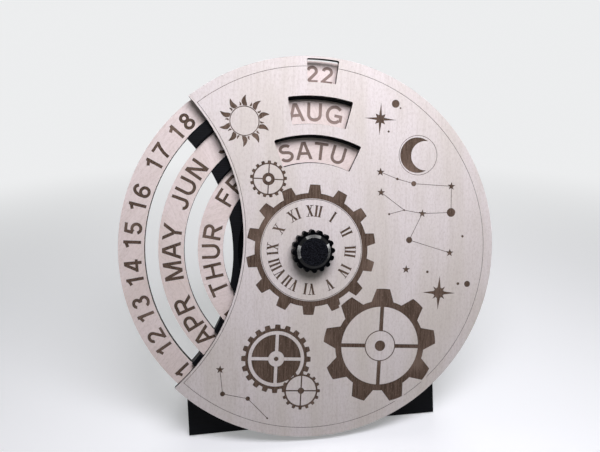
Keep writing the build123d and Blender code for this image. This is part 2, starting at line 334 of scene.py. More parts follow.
# %% [markdown]
# ## Outlines as lists of points
# Engraving is drawing, so the next helpers make flat outlines in mm: arcs with enough
# points to look round, ribbons that follow a line at an even width, stars and gear
# wheels. Curve objects could do the same, but plain lists can be cut into one sheet
# with exact edges, which curves can't.

# %% Arcs, discs and ribbons
ROUNDNESS = 0.02


def arc(x, y, rx, ry, start, end):
    """Points of an arc about (x, y), as many as keep it within ROUNDNESS of round."""
    step = 2 * math.degrees(math.acos(1 - min(ROUNDNESS / max(rx, ry), 0.3)))
    count = max(2, math.ceil(abs(end - start) / step))
    angles = [math.radians(start + (end - start) * index / count) for index in range(count + 1)]
    return [(x + rx * math.cos(angle), y + ry * math.sin(angle)) for angle in angles]


def disc(x, y, radius):
    return arc(x, y, radius, radius, 0, 360)[:-1]


def ribbon(path, width):
    """A band about a line of points, mitred at its corners and cut square at its ends."""
    left, right = [], []
    for index, (x, y) in enumerate(path):
        before = Vector(path[index]) - Vector(path[max(index - 1, 0)])
        after = Vector(path[min(index + 1, len(path) - 1)]) - Vector(path[index])
        before = before.normalized() if index else after.normalized()
        after = after.normalized() if index < len(path) - 1 else before
        middle = (before + after).normalized()
        reach = width / 2 / max(middle.dot(after), 0.4)
        left.append((x - middle.y * reach, y + middle.x * reach))
        right.append((x + middle.y * reach, y - middle.x * reach))
    return left + right[::-1]


def turned_about(points, degrees, x=0.0, y=0.0):
    """The points turned about the origin and then moved by (x, y)."""
    cosine, sine = math.cos(math.radians(degrees)), math.sin(math.radians(degrees))
    return [(x + px * cosine - py * sine, y + px * sine + py * cosine) for px, py in points]


print("a disc of 10 mm radius has", len(disc(0, 0, 10)), "points")

# %% [markdown]
# A star is a run of points at two radii in turn. A gear wheel is arcs at two radii, and
# the straight flanks between them come by themselves. An add-on can make gears too, but
# this way each wheel gets its own teeth and widths in one line.


# %% Stars and gear wheels
def star(x, y, outer, inner, points, first=90.0):
    outline = []
    for index in range(2 * points):
        angle = math.radians(first + 180 * index / points)
        radius = inner if index % 2 else outer
        outline.append((x + radius * math.cos(angle), y + radius * math.sin(angle)))
    return outline


def gear(x, y, teeth, tip, root, tip_width, base_width, first=90.0):
    """The outline of a gear wheel with straight-sided teeth, one of them at angle first."""
    outline = []
    base = math.degrees(math.asin(base_width / 2 / root))
    top = math.degrees(math.asin(tip_width / 2 / tip))
    for index in range(teeth):
        middle = first + 360 * index / teeth
        outline += arc(x, y, tip, tip, middle - top, middle + top)
        outline += arc(x, y, root, root, middle + base, middle + 360 / teeth - base)
    return outline


print("a gear with 9 teeth has", len(gear(0, 0, 9, 31, 24.5, 7.4, 12.2)), "points")

# %% [markdown]
# ## A sheet that is cut and engraved
# A sheet starts from the frame: the outline and the windows are the boundary edges of
# the CAD node's front, so the new piece keeps the CAD's shape exactly. Engraving is
# then laid over it as a painter would: each outline either burns or, as bare wood,
# covers what lies under it. A constrained triangulation cuts the whole drawing at
# once and says which outlines cover each triangle. Burnt triangles are sunk, and walls
# join the levels, so the result is one closed solid with crisp, real relief.

# %% The outline of a flat node
BURNT, BARE, OPEN = "burnt", "bare", "open"
ENGRAVING = 0.25


def front_loops(node):
    """The loops round the front of a flat node, the outer one first, and its z range."""
    points = face_points(node)
    front, back = max(point.z for point in points), min(point.z for point in points)
    edges = {}
    for face in frame["nodes"][node].data.polygons:
        if all(points[index].z > front - 0.01 for index in face.vertices):
            corners = [tuple(round(part, 4) for part in points[index][:2]) for index in face.vertices]
            for pair in zip(corners, corners[1:] + corners[:1]):
                edges[pair] = edges.get(pair, 0) + 1
    following = {start: end for start, end in edges if (end, start) not in edges}
    loops = []
    while following:
        start, corner = following.popitem()
        loop = [start]
        while corner != start:
            loop.append(corner)
            corner = following.pop(corner)
        loops.append(loop)
    loops.sort(key=lambda loop: max(x for x, y in loop) - min(x for x, y in loop), reverse=True)
    return loops, front, back


face_loops, face_front, face_back = front_loops("front_plate")
print("loops of the face:", [len(loop) for loop in face_loops], "thick:", round(face_front - face_back, 3))


# %% Cutting and sinking the sheet
INSIDE_ONLY, CLOSENESS = 1, 1e-5
SHARP_ANGLE = math.radians(35)


def wound(points):
    """The points counter-clockwise, as the triangulation expects them."""
    pairs = zip(points, points[1:] + points[:1])
    area = sum(ax * by - bx * ay for (ax, ay), (bx, by) in pairs)
    return points if area > 0 else points[::-1]


def cut_sheet(loops, marks):
    """Corners, triangles and the kind of each triangle, for loops with marks laid over them."""
    layers = [(BARE, loops[0])] + [(OPEN, loop) for loop in loops[1:]] + marks
    corners, outlines = [], []
    for kind, points in layers:
        outlines.append(list(range(len(corners), len(corners) + len(points))))
        corners += [Vector(point) for point in wound(points)]
    places, _, triangles, _, _, covered = delaunay_2d_cdt(corners, [], outlines, INSIDE_ONLY, CLOSENESS)
    holes = set(range(1, len(loops)))
    kept = [(face, layers[max(covers)][0]) for face, covers in zip(triangles, covered)
            if 0 in covers and not holes & set(covers)]
    return places, [face for face, kind in kept], [kind for face, kind in kept]


def sheet_mesh(name, loops, marks, front, back):
    """A closed solid: the bare front, the sunk engraving, the back, and the walls between."""
    corners, faces, kinds = cut_sheet(loops, marks)
    levels = {BARE: front, BURNT: front - ENGRAVING}
    numbers, vertices, polygons, slots = {}, [], [], []

    def number(corner, z):
        if (corner, z) not in numbers:
            numbers[corner, z] = len(vertices)
            vertices.append(on_face(*corners[corner], z))
        return numbers[corner, z]

    def wall(start, end, high, low, slot):
        around = ((start, low), (end, low), (end, high), (start, high))
        polygons.append([number(*corner) for corner in around])
        slots.append(slot)

    sides = {}
    for face, kind in zip(faces, kinds):
        polygons.append([number(corner, levels[kind]) for corner in face])
        polygons.append([number(corner, back) for corner in reversed(face)])
        slots += [1 if kind == BURNT else 0, 0]
        for start, end in zip(face, list(face[1:]) + [face[0]]):
            sides[start, end] = kind
    for (start, end), kind in sides.items():
        neighbour = sides.get((end, start))
        if neighbour is None:
            wall(start, end, levels[kind], back, 2)
        elif kind == BARE and neighbour == BURNT:
            wall(start, end, front, front - ENGRAVING, 1)
    mesh = bpy.data.meshes.new(name)
    mesh.from_pydata(vertices, [], polygons)
    mesh.polygons.foreach_set("material_index", slots)
    mesh.polygons.foreach_set("use_smooth", [True] * len(polygons))
    mesh.set_sharp_from_angle(angle=SHARP_ANGLE)
    mesh.update()
    return mesh


print("sheets are cut and sunk by", ENGRAVING, "mm")


# %% Placing a sheet
def make_sheet(node, body, marks, wood, burn):
    """The engraved sheet that stands for a flat node of the frame and rides on its body."""
    loops, front, back = front_loops(node)
    mesh = sheet_mesh(node + "_engraved", loops, marks, front, back)
    piece = bpy.data.objects.new(node + "_engraved", mesh)
    bpy.context.scene.collection.objects.link(piece)
    for finish in (wood, burn, laser_edge):
        mesh.materials.append(finish.material)
    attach(piece, body)
    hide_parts(node)
    print(piece.name, "faces:", len(mesh.polygons))
    return piece


# %% [markdown]
# ## Gear wheels on the face
# The face shows a train of plain gear wheels. Each is a stack of discs and outlines:
# a burnt wheel, a bare disc inside it, then burnt spokes and a hub. Where one wheel lies
# over another, a bare outline a millimetre larger is laid between them, and that leaves
# the pale margin that keeps the teeth apart.

# %% The clock wheel in the middle and the big wheel
marks = []


def burn(*outlines):
    marks.extend((BURNT, outline) for outline in outlines)


def clear(*outlines):
    marks.extend((BARE, outline) for outline in outlines)


def hoop(x, y, outer, inner):
    burn(disc(x, y, outer))
    clear(disc(x, y, inner))


def spokes(x, y, inner, outer, width):
    """Four spokes, up, down, left and right."""
    for quarter in range(4):
        burn(turned_about(ribbon([(inner, 0), (outer, 0)], width), 90 * quarter, x, y))


LINE = 0.28
CLOCK_WHEEL = dict(teeth=14, tip=34.3, root=29.9, tip_width=5.4, base_width=6.8)
BIG_WHEEL = dict(teeth=9, tip=31.0, root=24.5, tip_width=7.4, base_width=12.2)
BIG_MARGIN = dict(teeth=9, tip=32.0, root=25.5, tip_width=9.2, base_width=14.0)
BIG_X, BIG_Y = 39.9, -50.2

burn(gear(0, 0, **CLOCK_WHEEL))
clear(disc(0, 0, 27.0))
hoop(0, 0, outer=26.7, inner=26.45)
clear(gear(BIG_X, BIG_Y, **BIG_MARGIN))
burn(gear(BIG_X, BIG_Y, **BIG_WHEEL))
clear(disc(BIG_X, BIG_Y, 21.2))
spokes(BIG_X, BIG_Y, inner=8.0, outer=21.5, width=2.1)
hoop(BIG_X, BIG_Y, outer=8.45, inner=7.95)
burn(disc(BIG_X, BIG_Y, 2.9))
print("outlines so far:", len(marks))

# %% The three smaller wheels
LEFT_X, LEFT_Y = -15.8, -58.0
burn(gear(LEFT_X, LEFT_Y, teeth=20, tip=18.3, root=16.3, tip_width=2.6, base_width=3.1))
clear(disc(LEFT_X, LEFT_Y, 14.8))
burn(disc(LEFT_X, LEFT_Y, 13.0))
for quarter in range(4):
    clear(turned_about(ribbon([(0, 0), (13.5, 0)], 1.7), 90 * quarter, LEFT_X, LEFT_Y))
clear(disc(LEFT_X, LEFT_Y, 4.2))
burn(disc(LEFT_X, LEFT_Y, 1.2))


def fine_wheel(x, y, teeth, tip, rim, rim_width, spoke, hub):
    """A small wheel with a thin rim, short teeth, a cross of spokes and a hub."""
    burn(gear(x, y, teeth, tip, root=rim, tip_width=1.5, base_width=1.9))
    clear(disc(x, y, rim - rim_width))
    spokes(x, y, 0, rim - rim_width / 2, spoke)
    burn(disc(x, y, hub))


fine_wheel(-1.8, -75.0, teeth=16, tip=10.2, rim=8.9, rim_width=0.9, spoke=0.7, hub=1.7)
fine_wheel(-24.4, 35.8, teeth=17, tip=9.5, rim=8.3, rim_width=0.7, spoke=0.6, hub=3.2)
clear(disc(-24.4, 35.8, 1.4))
print("outlines with all wheels:", len(marks))

# %% [markdown]
# ## Sun, moon and stars
# Round the wheels lie the usual figures of a night sky: a sun with curved rays, a
# crescent in a thin ring, long-pointed stars, dots, and stars joined by lines. The
# sun's ray is one curved leaf, drawn once and turned about the middle. The crescent
# is the one outline that needs a formula: it runs along one circle to where it meets
# the second, and back along that.

# %% The sun
SUN_X, SUN_Y = -38.0, 64.5
SUN_RAYS = 10


def flame(inner, outer, width, sway):
    """A curved ray along x: a leaf whose middle line sways sideways."""
    steps = 8
    left, right = [], []
    for index in range(steps + 1):
        share = index / steps
        middle = sway * math.sin(math.pi * share)
        half = width / 2 * (1 - share) ** 0.7 * min(1.0, 0.55 + 1.6 * share)
        left.append((inner + (outer - inner) * share, middle + half))
        right.append((inner + (outer - inner) * share, middle - half))
    return left + right[-2::-1]


for index in range(SUN_RAYS):
    middle = 90 + 360 * index / SUN_RAYS
    burn(turned_about(flame(inner=7.7, outer=13.2, width=3.4, sway=0.8), middle, SUN_X, SUN_Y))
    between = middle + 180 / SUN_RAYS
    burn(turned_about(flame(inner=7.9, outer=10.0, width=1.3, sway=-0.3), between, SUN_X, SUN_Y))
hoop(SUN_X, SUN_Y, outer=7.6, inner=7.15)
print("rays of the sun:", SUN_RAYS)


# %% The moon, the stars and the joined stars
def crescent(x, y, outer, cut_x, cut):
    """A disc with a second disc taken out of its right-hand side."""
    away = cut_x - x
    meet = (away * away + outer * outer - cut * cut) / (2 * away)
    half = math.degrees(math.acos(meet / outer))
    cut_half = math.degrees(math.acos((meet - away) / cut))
    back = arc(x, y, outer, outer, half, 360 - half)
    return back + arc(cut_x, y, cut, cut, 360 - cut_half, cut_half)[1:-1]


hoop(54.5, 52.9, outer=10.6, inner=10.35)
burn(crescent(54.1, 52.9, outer=9.4, cut_x=58.5, cut=7.8))
EVENING_STAR = (32.7, 70.5)
MORNING_STAR = (71.0, -20.5)
burn(star(*EVENING_STAR, outer=8.6, inner=1.2, points=4))
burn(star(*EVENING_STAR, outer=3.8, inner=1.7, points=4, first=45))
burn(star(*MORNING_STAR, outer=9.3, inner=1.6, points=4))
burn(star(*MORNING_STAR, outer=4.8, inner=1.6, points=4, first=45))
burn(star(*MORNING_STAR, outer=3.2, inner=2.2, points=8, first=22.5))

DOTS = (
    (40.5, 79.0, 2.1), (43.3, 76.9, 0.5), (37.6, 64.3, 0.6), (82.4, 10.8, 0.7),
    (63.8, -9.3, 0.7), (81.6, -15.2, 0.8), (86.9, -15.2, 1.7),
)
for x, y, radius in DOTS:
    burn(disc(x, y, radius))

SMALL_STAR = 2.3


def joined(*stops):
    """Stops (x, y, radius) joined by fine lines. A radius of 0 stands for a small star."""
    burn(*(ribbon([start[:2], end[:2]], LINE) for start, end in zip(stops, stops[1:])))
    for x, y, radius in stops:
        burn(disc(x, y, radius) if radius else star(x, y, SMALL_STAR, SMALL_STAR * 0.42, 5))


joined((34.5, 42.8, 0), (43.9, 39.7, 0.7), (53.1, 37.7, 1.4), (74.2, 37.5, 0), (75.0, 23.4, 2.4),
       (58.9, 22.0, 0), (48.7, 23.4, 0.5), (35.5, 32.1, 0))
joined((48.7, 23.4, 0.5), (40.6, 20.8, 0.6))
joined((58.9, 22.0, 0), (52.5, 7.5, 1.7), (75.7, 1.5, 0))
joined((-44.7, -64.0, 0), (-42.9, -76.8, 1.3), (-29.7, -79.3, 1.2), (-19.0, -89.8, 0.5))
burn(star(51.8, -8.4, SMALL_STAR, SMALL_STAR * 0.42, 5))
print("outlines with the sky:", len(marks))

# %% [markdown]
# ## An hour ring round the knob
# Between the knob and the clock wheel runs a ring of plain Roman numerals, as on any
# old clock. Three letters make all twelve, each from straight strokes: thick ones,
# thin ones and short serifs. A stroke with level ends is a parallelogram, so it meets
# the serifs and the other strokes without gaps.


# %% Strokes with level ends
def leg(x0, y0, x1, y1, thickness):
    """A straight stroke between two heights, with level ends."""
    half = thickness / 2 * math.hypot(x1 - x0, y1 - y0) / abs(y1 - y0)
    return [(x0 - half, y0), (x0 + half, y0), (x1 + half, y1), (x1 - half, y1)]


def bar(left, right, y, thickness):
    half = thickness / 2
    return [(left, y - half), (right, y - half), (right, y + half), (left, y + half)]


THICK, THIN, SERIF = 0.185, 0.075, 0.055


def serifs(y, *middles, half=0.145):
    return [bar(middle - half, middle + half, y, SERIF) for middle in middles]


ROMAN = {
    "I": (0.30, [leg(0.15, 0, 0.15, 1, THICK), *serifs(0.03, 0.15), *serifs(0.97, 0.15)]),
    "V": (0.66, [leg(0.16, 1, 0.36, 0, THICK), leg(0.53, 1, 0.35, 0, THIN), *serifs(0.97, 0.15, 0.52)]),
    "X": (0.68, [leg(0.15, 1, 0.53, 0, THICK), leg(0.53, 1, 0.15, 0, THIN),
                 *serifs(0.97, 0.15, 0.53), *serifs(0.03, 0.15, 0.53)]),
}
HOURS = ("XII", "I", "II", "III", "IV", "V", "VI", "VII", "VIII", "IX", "X", "XI")


def round_words(letters, words, baseline, height):
    """Words (text, middle angle) standing on a circle, each letter turned by itself."""
    outlines = []
    for text, middle in words:
        widths = [letters[letter][0] * height for letter in text]
        run = -sum(widths) / 2
        for letter, width in zip(text, widths):
            angle = middle - math.degrees((run + width / 2) / baseline)
            run += width
            for stroke in letters[letter][1]:
                flat = [(x * height - width / 2, y * height + baseline) for x, y in stroke]
                outlines.append(turned_about(flat, angle - 90))
    return outlines


hours = [(text, 90 - 30 * index) for index, text in enumerate(HOURS)]
burn(*round_words(ROMAN, hours, baseline=17.6, height=6.0))
print("outlines with the hours:", len(marks))

# %% [markdown]
# ## The border
# A fine line runs round the face inside its rim, and along the round bite at the left a
# little inside its edge. That is the crescent again, burnt once and cleared once a line's
# width smaller. The bite's circle is found from three of the outline's own points.


# %% The border
def circle_through(a, b, c):
    """The middle and the radius of the circle through three points."""
    a, b, c = Vector(a), Vector(b), Vector(c)
    ab, ac = b - a, c - a
    double_area = 2 * ab.cross(ac)
    away = Vector((ac.y * ab.length_squared - ab.y * ac.length_squared,
                   ab.x * ac.length_squared - ac.x * ab.length_squared)) / double_area
    return a + away, away.length


BORDER_RADIUS = 95.0
BITE_MARGIN = 1.1
BORDER_LINE = 0.22
rim = max(math.hypot(x, y) for x, y in face_loops[0])
bite = [point for point in face_loops[0] if math.hypot(*point) < rim - 0.5]
ends = (min(bite, key=lambda point: point[1]), max(bite, key=lambda point: point[1]))
bite_centre, bite_radius = circle_through(*ends, min(bite, key=lambda point: math.hypot(*point)))
bite_turn = math.degrees(math.atan2(bite_centre.y, bite_centre.x))


def bordered(inset):
    """The face's outline, drawn in by the border and by an inset of its own."""
    cut = bite_radius + BITE_MARGIN + inset
    return turned_about(crescent(0, 0, BORDER_RADIUS - inset, bite_centre.length, cut), bite_turn)


border = [(BURNT, bordered(0)), (BARE, bordered(BORDER_LINE))]
print("the bite's radius is", round(bite_radius, 2), "mm and it lies at", round(bite_turn, 2), "degrees")

# %% [markdown]
# The face is one sheet, so all of this becomes one piece. The figures were engraved with
# the sheet a little askew, so their drawing is turned by that amount before the cut.

# %% The face
ENGRAVING_TURN = -5.3
figures = [(kind, turned_about(outline, ENGRAVING_TURN)) for kind, outline in marks]
face = make_sheet("front_plate", "front", border + figures, face_birch, face_burn)

# %% [markdown]
# ## Letters for the rings
# The rings carry upright sans-serif capitals and figures with strokes of one width. A
# font could be used, but drawing the strokes keeps their weight and ends under
# control, and it needs very little: level legs, bars, and bands about arcs. Every
# letter is one unit tall, and is kept with the width it takes on the line.

# %% Pens for round strokes
STROKE = 0.172
LOW, HIGH = STROKE / 2, 1 - STROKE / 2


def pen(*path):
    return ribbon(list(path), STROKE)


def bow(x, y, rx, ry, start, end):
    """Points of an elliptical stroke's middle line."""
    steps = max(6, round(abs(end - start) / 12))
    angles = [math.radians(start + (end - start) * index / steps) for index in range(steps + 1)]
    return [(x + rx * math.cos(angle), y + ry * math.sin(angle)) for angle in angles]


def bowl(stem, low, high, reach):
    """The round side of a B, D, P or R: out along the top, round, and back."""
    ry = (high - low) / 2
    rx = min(ry * 1.1, (reach - stem) * 0.75)
    round_part = bow(reach - rx, low + ry, rx, ry, 90, -90)
    return pen((stem, high), *round_part, (stem, low))


def stem(x, low=0.0, high=1.0):
    return leg(x, low, x, high, STROKE)


def slope(x0, y0, x1, y1):
    return leg(x0, y0, x1, y1, STROKE)


def beam(left, right, y):
    return bar(left, right, y, STROKE * 0.92)


def ring_of(x, y, rx, ry):
    """A closed round stroke, as two halves that meet."""
    return [pen(*bow(x, y, rx, ry, 88, 272)), pen(*bow(x, y, rx, ry, -92, 92))]


print("stroke width:", STROKE, "of the height")

# %% [markdown]
# Each figure and capital is a few strokes. Where strokes overlap, the cut joins them, so
# they are drawn one after the other as a signwriter would. The figures share one width,
# which keeps the dates even, and a 9 is a 6 turned round.

# %% Figures
SIX = [*ring_of(0.39, 0.315, 0.235, 0.24), pen(*bow(0.435, 0.47, 0.28, 0.455, 38, 192))]
FIGURES = {
    "0": (0.777, ring_of(0.388, 0.5, 0.24, 0.43)),
    "1": (0.777, [stem(0.46), pen((0.50, 0.93), (0.38, 0.83), (0.18, 0.74))]),
    "2": (0.777, [pen(*bow(0.385, 0.70, 0.235, 0.225, 170, -32), (0.15, LOW + 0.02)), beam(0.06, 0.70, LOW)]),
    "3": (0.777, [pen(*bow(0.36, 0.735, 0.2, 0.19, 165, -90)),
                  pen(*bow(0.37, 0.29, 0.245, 0.215, 90, -165))]),
    "4": (0.777, [stem(0.53), slope(0.11, 0.27, 0.5, 1), beam(0.03, 0.72, 0.29)]),
    "5": (0.777, [pen((0.65, HIGH), (0.21, HIGH), (0.14, 0.49)),
                  pen(*bow(0.375, 0.325, 0.245, 0.25, 140, -162))]),
    "6": (0.777, SIX),
    "7": (0.777, [beam(0.07, 0.70, HIGH), pen((0.63, 0.93), (0.47, 0.66), (0.36, 0.34), (0.31, 0))]),
    "8": (0.777, [*ring_of(0.388, 0.735, 0.19, 0.19), *ring_of(0.388, 0.29, 0.235, 0.215)]),
    "9": (0.777, [[(0.777 - x, 1 - y) for x, y in stroke] for stroke in SIX]),
}
FIGURE_STRETCH, FIGURE_AIR = 1.07, 0.012


def widened(letters, stretch, air):
    """The same letters drawn wider, with a little air on both sides of each."""
    wide = {}
    for letter, (width, strokes) in letters.items():
        moved = [[(x * stretch + air, y) for x, y in stroke] for stroke in strokes]
        wide[letter] = (width * stretch + 2 * air, moved)
    return wide


FIGURES = widened(FIGURES, FIGURE_STRETCH, FIGURE_AIR)
print("figures:", "".join(FIGURES))

# %% Capitals
LETTERS = {
    "A": (0.931, [slope(0.085, 0, 0.435, 1), slope(0.846, 0, 0.496, 1), beam(0.2, 0.73, 0.34)]),
    "B": (0.931, [stem(0.18), bowl(0.18, 0.53, HIGH, 0.7), bowl(0.18, LOW, 0.53, 0.76)]),
    "C": (1.008, [pen(*bow(0.53, 0.5, 0.38, 0.43, 38, 322))]),
    "D": (1.008, [stem(0.18), bowl(0.18, LOW, HIGH, 0.86)]),
    "E": (0.931, [stem(0.18), beam(0.18, 0.85, LOW), beam(0.18, 0.8, 0.52), beam(0.18, 0.83, HIGH)]),
    "F": (0.853, [stem(0.18), beam(0.18, 0.7, 0.5), beam(0.18, 0.8, HIGH)]),
    "G": (1.087, [pen(*bow(0.55, 0.5, 0.4, 0.43, 42, 318)), stem(0.92, 0.14, 0.5), beam(0.56, 0.99, 0.45)]),
    "H": (1.008, [stem(0.18), stem(0.83), beam(0.18, 0.83, 0.52)]),
    "I": (0.388, [stem(0.194)]),
    "J": (0.698, [pen((0.53, 1), (0.53, 0.3), *bow(0.3, 0.275, 0.23, 0.2, 0, -172))]),
    "L": (0.777, [stem(0.17), beam(0.17, 0.73, LOW)]),
    "M": (1.163, [stem(0.17), stem(0.993), slope(0.2, 1, 0.58, 0), slope(0.963, 1, 0.583, 0)]),
    "N": (1.008, [stem(0.18), stem(0.83), slope(0.2, 1, 0.81, 0)]),
    "O": (1.087, ring_of(0.543, 0.5, 0.41, 0.43)),
    "P": (0.931, [stem(0.18), bowl(0.18, 0.42, HIGH, 0.79)]),
    "R": (1.008, [stem(0.18), bowl(0.18, 0.47, HIGH, 0.81), slope(0.52, 0.47, 0.86, 0)]),
    "S": (0.931, [pen(*bow(0.455, 0.735, 0.275, 0.19, 22, 270), *bow(0.47, 0.3, 0.3, 0.225, 84, -165))]),
    "T": (0.853, [stem(0.426), beam(0.03, 0.82, HIGH)]),
    "U": (1.008, [pen((0.18, 1), *bow(0.505, 0.375, 0.325, 0.3, 180, 360), (0.83, 1))]),
    "V": (0.931, [slope(0.08, 1, 0.435, 0), slope(0.85, 1, 0.496, 0)]),
    "W": (1.318, [slope(0.08, 1, 0.34, 0), slope(0.62, 1, 0.37, 0),
                  slope(0.7, 1, 0.95, 0), slope(1.24, 1, 0.98, 0)]),
    "Y": (0.931, [slope(0.085, 1, 0.45, 0.4), slope(0.846, 1, 0.48, 0.4), stem(0.466, 0, 0.46)]),
}
print("capitals:", "".join(LETTERS))

# %% [markdown]
# ## The three rings
# Each ring is lettered as one line that runs clockwise on a circle just outside its inner
# edge. The words follow each other with an even space between them, and what is left
# over opens a wider space here and there, a seam. So a ring is a list of words, the
# seams, one known angle and the space.


# %% Words round a ring
def word_angle(letters, text, baseline, height):
    return math.degrees(sum(letters[letter][0] for letter in text) * height / baseline)


def laid_out(words, angles, space, known, known_angle, seams):
    """(word, middle angle) for words that run clockwise. A seam opens before its word."""
    middles, run = {}, 0.0
    for word in words:
        run -= seams.get(word, 0.0)
        middles[word] = run - angles[word] / 2
        run -= angles[word] + space
    shift = known_angle - middles[known]
    return [(word, middle + shift) for word, middle in middles.items()]


FIGURE_HEIGHT, MONTH_HEIGHT, WEEKDAY_HEIGHT = 8.83, 9.58, 9.33
LETTER_INSET = 1.55


def inner_radius(node):
    return min(math.hypot(point.x, point.y) for point in face_points(node))


# %% [markdown]
# The date ring is the largest and holds 31 dates. Figures of one width could share the
# circle evenly, but the later dates stand a little wider apart here, so the angle that a
# date takes is a small function of the day.


# %% The date ring
def ring_piece(node, body, outlines, grain_degrees, tree, weak):
    wood = birch(node + "_birch", grain_degrees, tree, **RING_BIRCH)
    char = engraved(node + "_burn", grain_degrees, tree, weak)
    return make_sheet(node, body, [(BURNT, outline) for outline in outlines], wood, char)


def date_angle(day):
    """The angle that a date takes on its ring. The later ones stand a little wider."""
    if day < 10:
        return 9.4
    return 12.05 if day < 17 else 12.35


DATES = [str(day) for day in range(1, 32)]
date_angles = {day: date_angle(int(day)) for day in DATES}
date_words = laid_out(DATES, date_angles, space=0.0, known="15", known_angle=172.7,
                      seams={"12": 2.2, "17": 2.1})
date_line = inner_radius("date_ring") + LETTER_INSET
date_marks = round_words(FIGURES, date_words, date_line, FIGURE_HEIGHT)
ring_piece("date_ring", "date_ring", date_marks, grain_degrees=40.0, tree=200.0, weak=0.65)
print("22 stands at", round(dict(date_words)["22"], 1), "degrees")

# %% [markdown]
# The month ring takes twelve short names. Their letters differ in width, so each name
# takes the angle that its own letters need, and the space between names stays the same.

# %% The month ring
MONTHS = "JAN FEB MAR APR MAY JUN JUL AUG SEP OCT NOV DEC".split()
month_line = inner_radius("month_ring") + LETTER_INSET
month_angles = {word: word_angle(LETTERS, word, month_line, MONTH_HEIGHT) for word in MONTHS}
month_words = laid_out(MONTHS, month_angles, space=6.1, known="AUG", known_angle=85.3,
                       seams={"JUL": 0.9, "AUG": 7.3})
month_marks = round_words(LETTERS, month_words, month_line, MONTH_HEIGHT)
ring_piece("month_ring", "month_ring", month_marks, grain_degrees=-25.0, tree=400.0, weak=0.7)
print("months at", [(word, round(angle)) for word, angle in month_words])

# %% [markdown]
# The weekday ring is the smallest, with seven names of four letters. It is laid out as
# the months are, with a wider space between the names.

# %% The weekday ring
WEEKDAYS = "MOND TUES WEDN THUR FRID SATU SUND".split()
weekday_line = inner_radius("weekday_ring") + LETTER_INSET
weekday_angles = {word: word_angle(LETTERS, word, weekday_line, WEEKDAY_HEIGHT) for word in WEEKDAYS}
weekday_words = laid_out(WEEKDAYS, weekday_angles, space=7.4, known="SATU", known_angle=86.2,
                         seams={"FRID": 3.0})
weekday_marks = round_words(LETTERS, weekday_words, weekday_line, WEEKDAY_HEIGHT)
ring_piece("weekday_ring", "weekday_ring", weekday_marks, grain_degrees=75.0, tree=600.0, weak=0.4)
print("weekdays at", [(word, round(angle)) for word, angle in weekday_words])

# %% [markdown]
# ## Printed black plastic
# The back frame, the stand and the knob are printed. A print shows its path: fine
# parallel lines on a flat face, stacked layers on a wall. Both are a wave in a bump,
# run along the direction in which the nozzle went, and broken up by a little noise.

# %% Black finishes
BLACK = colour(8, 9, 12)
BLACK_WORN = colour(20, 21, 26)


def printed(name, pitch, leaning):
    """Black print whose lines lie a pitch apart up the face, or up from the table."""
    finish = Finish(name, Specular_IOR_Level=0.07)
    x, y, z = place(finish)
    height = y * math.cos(leaning) + z * math.sin(leaning)
    lines = height.maths("SINE", height * (2 * math.pi / pitch))
    wander = noise(finish, x * 0.05, height * 1.3, z * 0.05, detail=3.0)
    tone = blend(finish, ease(finish, wander + lines * 0.25, 0.35, 0.85), BLACK, BLACK_WORN)
    finish.feed("Base Color", tone)
    finish.feed("Roughness", 0.42 + wander * 0.2)
    bump(finish, lines * 0.5 + wander * 0.8, depth_mm=0.06, strength=0.6)
    return finish


frame_black = printed("frame_black", pitch=0.9, leaning=0.0)
stand_black = printed("stand_black", pitch=0.3, leaning=math.asin(OUT.z))
print("printed finishes are ready")

# %% [markdown]
# The knob was printed top down on a textured bed, so its flat top is finely bumpy and
# matt, while the bevel round it is smooth and catches the lamps. One material holds
# both: the distance from the bolt's axis tells them apart.

# %% Knob finish
knob_points = face_points("knob")
knob_front = max(point.z for point in knob_points)
PEBBLE_TOP = colour(40, 41, 46)
knob_top = max(math.hypot(point.x, point.y) for point in knob_points if point.z > knob_front - 0.01)
lobe_front = max(point.z for point in knob_points if math.hypot(point.x, point.y) > 1.3 * knob_top)

knob_black = Finish("knob_black", Specular_IOR_Level=0.02, Coat_Roughness=0.07)
x, y, z = place(knob_black)
radius = (x * x + y * y) ** 0.5
flat_top = ease(knob_black, radius, knob_top + 0.05, knob_top - 0.1)
bevelled = (1 - flat_top) * ease(knob_black, z, lobe_front + 0.02, lobe_front + 0.2)
pebbles = noise(knob_black, x * 1.6, y * 1.6, z * 1.6, detail=3.0, roughness=0.7)
grains = ease(knob_black, pebbles, 0.4, 0.65) * flat_top
knob_black.feed("Base Color", blend(knob_black, grains, BLACK, PEBBLE_TOP))
knob_black.feed("Roughness", 0.3 + flat_top * 0.3 + pebbles * 0.1)
knob_black.feed("Coat Weight", bevelled * 0.36)
bump(knob_black, pebbles * (0.04 + flat_top * 0.96), depth_mm=0.25, strength=0.8)
print("the knob's flat top has radius", round(knob_top, 2), "and its bevel starts at", round(lobe_front, 2))

# %% [markdown]
# ## Small hardware
# Bolt, nut, screws and washers are zinc plated, the inserts are brass, the bush and the
# thrust washer nylon, the feet rubber. Most of it hides inside, and the screws and the
# bolt's head show from behind. Each gets a plain base with a little unevenness.


# %% Hardware finishes
def uneven(name, base, other, metallic, rough, scale, depth):
    """An even material, with a little change of tone and a slight bump."""
    finish = Finish(name, Metallic=metallic)
    x, y, z = place(finish)
    spots = noise(finish, x * scale, y * scale, z * scale, detail=3.0)
    finish.feed("Base Color", blend(finish, spots, base, other))
    finish.feed("Roughness", rough + spots * 0.15)
    bump(finish, spots, depth_mm=depth, strength=0.5)
    return finish


